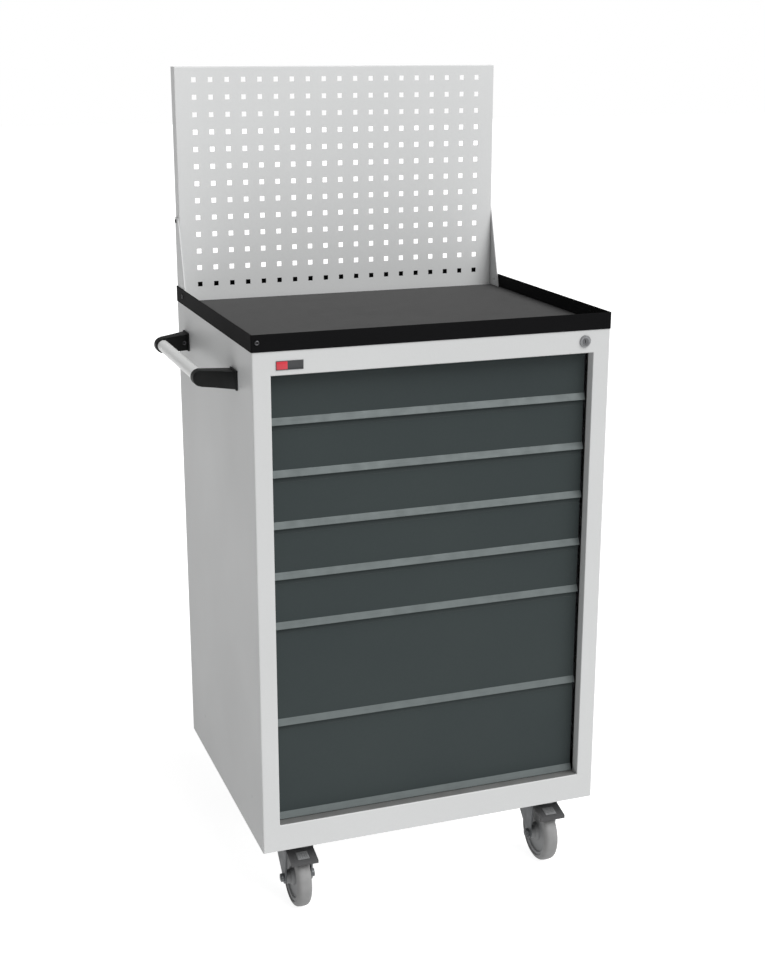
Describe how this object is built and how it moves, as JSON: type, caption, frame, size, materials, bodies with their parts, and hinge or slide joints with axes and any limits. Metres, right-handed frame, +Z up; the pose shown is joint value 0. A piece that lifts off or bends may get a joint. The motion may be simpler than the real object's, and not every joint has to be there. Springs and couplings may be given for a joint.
{
  "type": "rolling tool chest",
  "caption": "Steel tool chest on castors with stacked drawers on telescopic runners, a matted top tray, an upright perforated tool panel, a side push handle and a front lock.",
  "frame": {"origin": "on the floor, under the middle of the bounding box of the whole chest, side handle included", "axes": "+Z up, -Y to the front with the drawers, +X to the right as seen from the front"},
  "size_m": [0.7952, 0.6164, 1.644],
  "materials": {
    "body_paint": "light grey powder coat, fine texture",
    "panel_paint": "light grey powder coat",
    "inner_steel": "zinc plated",
    "front_paint": "dark grey powder coat",
    "grip_metal": "satin grey",
    "box_steel": "grey powder coat",
    "runner_zinc": "bright zinc plated",
    "tray_black": "satin black",
    "mat_rubber": "matt, finely ribbed",
    "bracket_plastic": "moulded, fine grain",
    "tube_paint": "light grey powder coat",
    "lock_chrome": "polished",
    "lock_steel": "zinc plated",
    "badge_plastic": "plain, no lettering",
    "screw_steel": "dark zinc",
    "castor_steel": "zinc plated",
    "tyre_grey": "grey rubber",
    "pedal_dark": "dark grey"
  },
  "bodies": {
    "root": {"back_panel": "body_paint", "badge_plate": "badge_plastic", "base_pan": "body_paint", "castor_bolts": "screw_steel", "castor_plates": "castor_steel", "fasteners": "screw_steel", "fixed_runners": "runner_zinc", "front_frame": "body_paint", "handle_brackets": "bracket_plastic", "handle_tube": "tube_paint", "left_side_panel": "body_paint", "lock_housing": "lock_chrome", "panel_gussets": "panel_paint", "perforated_panel": "panel_paint", "right_side_panel": "body_paint", "runner_uprights": "inner_steel", "top_panel": "body_paint", "top_tray": "tray_black", "tray_mat": "mat_rubber"},
    "lock_plug": {"lock_plug": "lock_chrome", "lock_cam": "lock_steel"},
    "lock_bar": {"lock_bar": "lock_steel"},
    "drawer_1": {"drawer_1_front": "front_paint", "drawer_1_grip": "grip_metal", "drawer_1_box": "box_steel"},
    "drawer_1_slides": {"drawer_1_slides": "runner_zinc"},
    "drawer_2": {"drawer_2_front": "front_paint", "drawer_2_grip": "grip_metal", "drawer_2_box": "box_steel"},
    "drawer_2_slides": {"drawer_2_slides": "runner_zinc"},
    "drawer_3": {"drawer_3_front": "front_paint", "drawer_3_grip": "grip_metal", "drawer_3_box": "box_steel"},
    "drawer_3_slides": {"drawer_3_slides": "runner_zinc"},
    "drawer_4": {"drawer_4_front": "front_paint", "drawer_4_grip": "grip_metal", "drawer_4_box": "box_steel"},
    "drawer_4_slides": {"drawer_4_slides": "runner_zinc"},
    "drawer_5": {"drawer_5_front": "front_paint", "drawer_5_grip": "grip_metal", "drawer_5_box": "box_steel"},
    "drawer_5_slides": {"drawer_5_slides": "runner_zinc"},
    "drawer_6": {"drawer_6_front": "front_paint", "drawer_6_grip": "grip_metal", "drawer_6_box": "box_steel"},
    "drawer_6_slides": {"drawer_6_slides": "runner_zinc"},
    "drawer_7": {"drawer_7_front": "front_paint", "drawer_7_grip": "grip_metal", "drawer_7_box": "box_steel"},
    "drawer_7_slides": {"drawer_7_slides": "runner_zinc"},
    "front_left_fork": {"front_left_fork": "castor_steel"},
    "front_left_wheel": {"front_left_wheel": "tyre_grey"},
    "front_left_pedal": {"front_left_pedal": "pedal_dark"},
    "front_right_fork": {"front_right_fork": "castor_steel"},
    "front_right_wheel": {"front_right_wheel": "tyre_grey"},
    "front_right_pedal": {"front_right_pedal": "pedal_dark"},
    "rear_left_fork": {"rear_left_fork": "castor_steel"},
    "rear_left_wheel": {"rear_left_wheel": "tyre_grey"},
    "rear_right_fork": {"rear_right_fork": "castor_steel"},
    "rear_right_wheel": {"rear_right_wheel": "tyre_grey"}
  },
  "joints": [
    {"name": "drawer_1_slide", "type": "slide", "parent": "root", "child": "drawer_1", "axis": [0, -1, 0], "range_m": [0, 0.4985]},
    {"name": "drawer_1_middle", "type": "slide", "parent": "root", "child": "drawer_1_slides", "axis": [0, -1, 0], "range_m": [0, 0.24925]},
    {"name": "drawer_2_slide", "type": "slide", "parent": "root", "child": "drawer_2", "axis": [0, -1, 0], "range_m": [0, 0.4985]},
    {"name": "drawer_2_middle", "type": "slide", "parent": "root", "child": "drawer_2_slides", "axis": [0, -1, 0], "range_m": [0, 0.24925]},
    {"name": "drawer_3_slide", "type": "slide", "parent": "root", "child": "drawer_3", "axis": [0, -1, 0], "range_m": [0, 0.4985]},
    {"name": "drawer_3_middle", "type": "slide", "parent": "root", "child": "drawer_3_slides", "axis": [0, -1, 0], "range_m": [0, 0.24925]},
    {"name": "drawer_4_slide", "type": "slide", "parent": "root", "child": "drawer_4", "axis": [0, -1, 0], "range_m": [0, 0.4985]},
    {"name": "drawer_4_middle", "type": "slide", "parent": "root", "child": "drawer_4_slides", "axis": [0, -1, 0], "range_m": [0, 0.24925]},
    {"name": "drawer_5_slide", "type": "slide", "parent": "root", "child": "drawer_5", "axis": [0, -1, 0], "range_m": [0, 0.4985]},
    {"name": "drawer_5_middle", "type": "slide", "parent": "root", "child": "drawer_5_slides", "axis": [0, -1, 0], "range_m": [0, 0.24925]},
    {"name": "drawer_6_slide", "type": "slide", "parent": "root", "child": "drawer_6", "axis": [0, -1, 0], "range_m": [0, 0.4985]},
    {"name": "drawer_6_middle", "type": "slide", "parent": "root", "child": "drawer_6_slides", "axis": [0, -1, 0], "range_m": [0, 0.24925]},
    {"name": "drawer_7_slide", "type": "slide", "parent": "root", "child": "drawer_7", "axis": [0, -1, 0], "range_m": [0, 0.4985]},
    {"name": "drawer_7_middle", "type": "slide", "parent": "root", "child": "drawer_7_slides", "axis": [0, -1, 0], "range_m": [0, 0.24925]},
    {"name": "lock_bar_lift", "type": "slide", "parent": "root", "child": "lock_bar", "axis": [0, 0, 1], "range_m": [0, 0.02121]},
    {"name": "lock_turn", "type": "hinge", "parent": "root", "child": "lock_plug", "pos_m": [0.3404, -0.305, 1.1385], "axis": [0, -1, 0], "range_deg": [0, 90]},
    {"name": "front_left_swivel", "type": "hinge", "parent": "root", "child": "front_left_fork", "pos_m": [-0.2366, -0.205, 0.16], "axis": [0, 0, 1], "continuous": true},
    {"name": "front_left_roll", "type": "hinge", "parent": "front_left_fork", "child": "front_left_wheel", "pos_m": [-0.2366, -0.243, 0.0625], "axis": [1, 0, 0], "continuous": true},
    {"name": "front_left_brake", "type": "hinge", "parent": "front_left_fork", "child": "front_left_pedal", "pos_m": [-0.2366, -0.255, 0.131], "axis": [1, 0, 0], "range_deg": [0, 15]},
    {"name": "front_right_swivel", "type": "hinge", "parent": "root", "child": "front_right_fork", "pos_m": [0.3084, -0.205, 0.16], "axis": [0, 0, 1], "continuous": true},
    {"name": "front_right_roll", "type": "hinge", "parent": "front_right_fork", "child": "front_right_wheel", "pos_m": [0.3084, -0.243, 0.0625], "axis": [1, 0, 0], "continuous": true},
    {"name": "front_right_brake", "type": "hinge", "parent": "front_right_fork", "child": "front_right_pedal", "pos_m": [0.3084, -0.255, 0.131], "axis": [1, 0, 0], "range_deg": [0, 15]},
    {"name": "rear_left_swivel", "type": "hinge", "parent": "root", "child": "rear_left_fork", "pos_m": [-0.2366, 0.205, 0.16], "axis": [0, 0, 1], "continuous": true},
    {"name": "rear_left_roll", "type": "hinge", "parent": "rear_left_fork", "child": "rear_left_wheel", "pos_m": [-0.1986, 0.205, 0.0625], "axis": [0, 1, 0], "continuous": true},
    {"name": "rear_right_swivel", "type": "hinge", "parent": "root", "child": "rear_right_fork", "pos_m": [0.3084, 0.205, 0.16], "axis": [0, 0, 1], "continuous": true},
    {"name": "rear_right_roll", "type": "hinge", "parent": "rear_right_fork", "child": "rear_right_wheel", "pos_m": [0.2704, 0.205, 0.0625], "axis": [0, 1, 0], "continuous": true}
  ],
  "couplings": [
    {"joint": "drawer_1_middle", "follows": "drawer_1_slide", "ratio": 0.5},
    {"joint": "drawer_2_middle", "follows": "drawer_2_slide", "ratio": 0.5},
    {"joint": "drawer_3_middle", "follows": "drawer_3_slide", "ratio": 0.5},
    {"joint": "drawer_4_middle", "follows": "drawer_4_slide", "ratio": 0.5},
    {"joint": "drawer_5_middle", "follows": "drawer_5_slide", "ratio": 0.5},
    {"joint": "drawer_6_middle", "follows": "drawer_6_slide", "ratio": 0.5},
    {"joint": "drawer_7_middle", "follows": "drawer_7_slide", "ratio": 0.5},
    {"joint": "lock_turn", "follows": "lock_bar_lift", "rad_per_m": 74.048}
  ]
}
